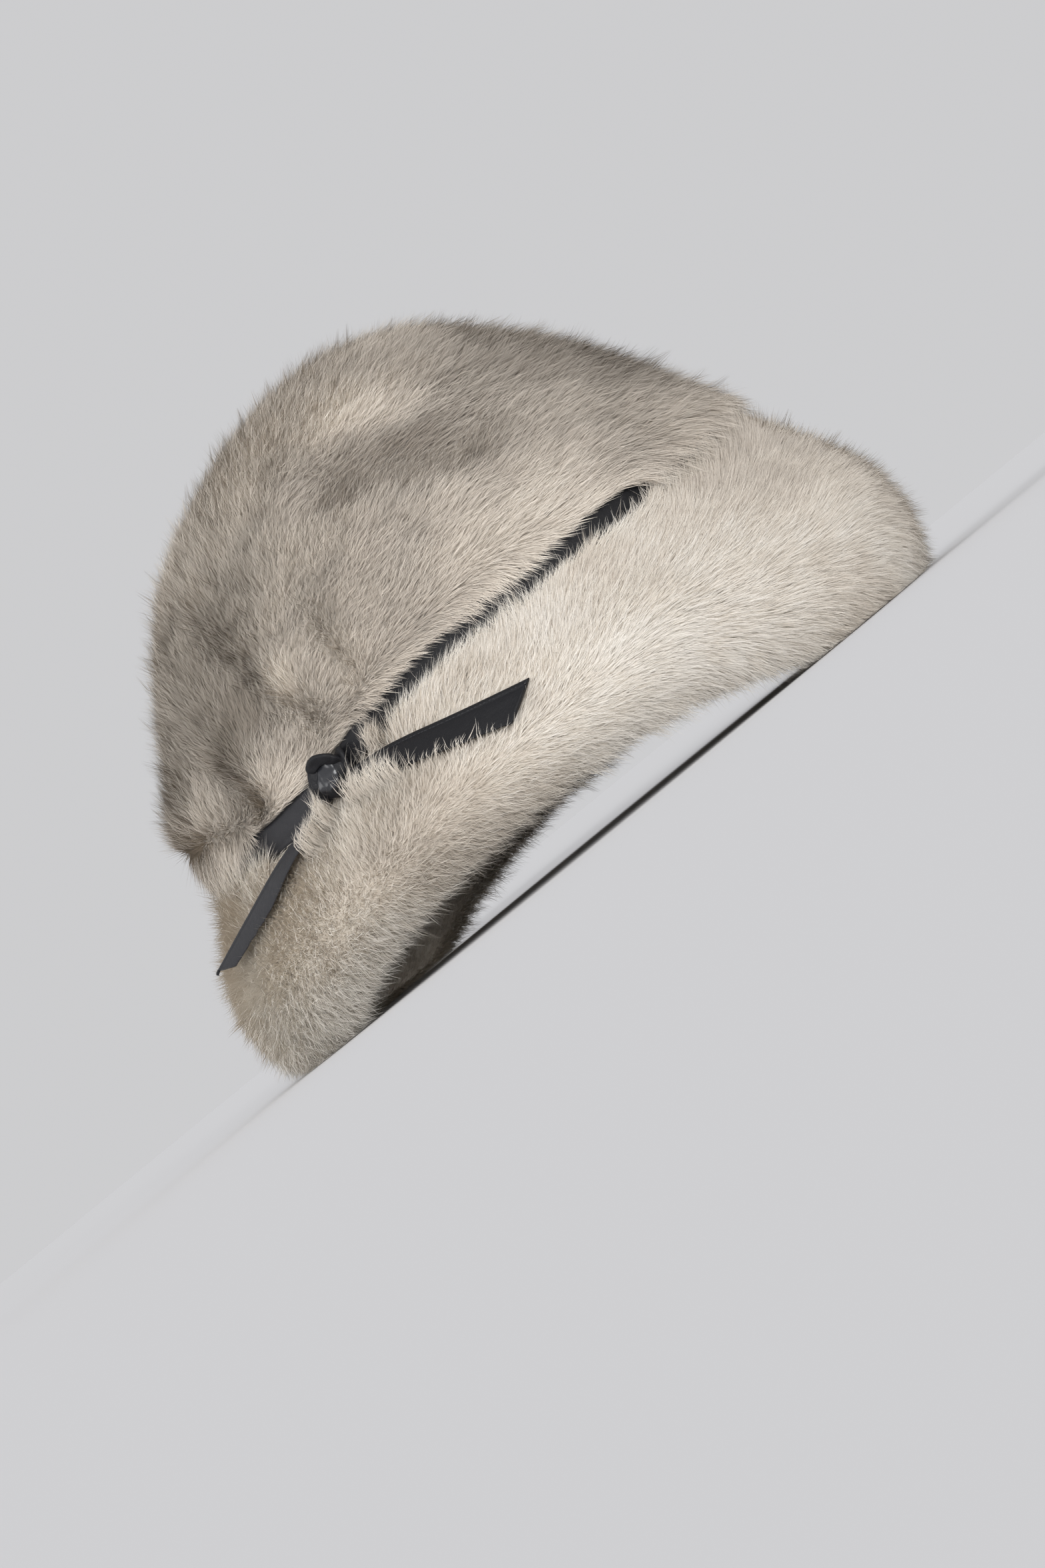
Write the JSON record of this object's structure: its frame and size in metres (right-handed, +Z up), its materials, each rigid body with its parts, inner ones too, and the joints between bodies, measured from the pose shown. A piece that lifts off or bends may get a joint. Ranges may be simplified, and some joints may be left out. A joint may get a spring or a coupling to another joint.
{
  "type": "fur cloche hat",
  "caption": "Short-pile fur cloche with a domed crown, a deep flared brim with fur on both faces, and a narrow leather band knotted at the side.",
  "frame": {"origin": "on the floor under the middle of the hat's box, as it rests on its rim", "axes": "+X towards the front of the hat, +Y towards the wearer's left, +Z up"},
  "size_m": [0.2754, 0.2398, 0.1771],
  "materials": {
    "crown_fur": "dense short fur, pearl grey with taupe shading",
    "brim_fur": "dense short fur, cream pearl with grey shading",
    "black_leather": "thin near-black leather strap, satin, one edge folded and stitched"
  },
  "bodies": {
    "root": {"crown": "crown_fur", "brim": "brim_fur", "hat_band": "black_leather", "knot": "black_leather", "tail_front": "black_leather", "tail_back": "black_leather"}
  },
  "joints": []
}
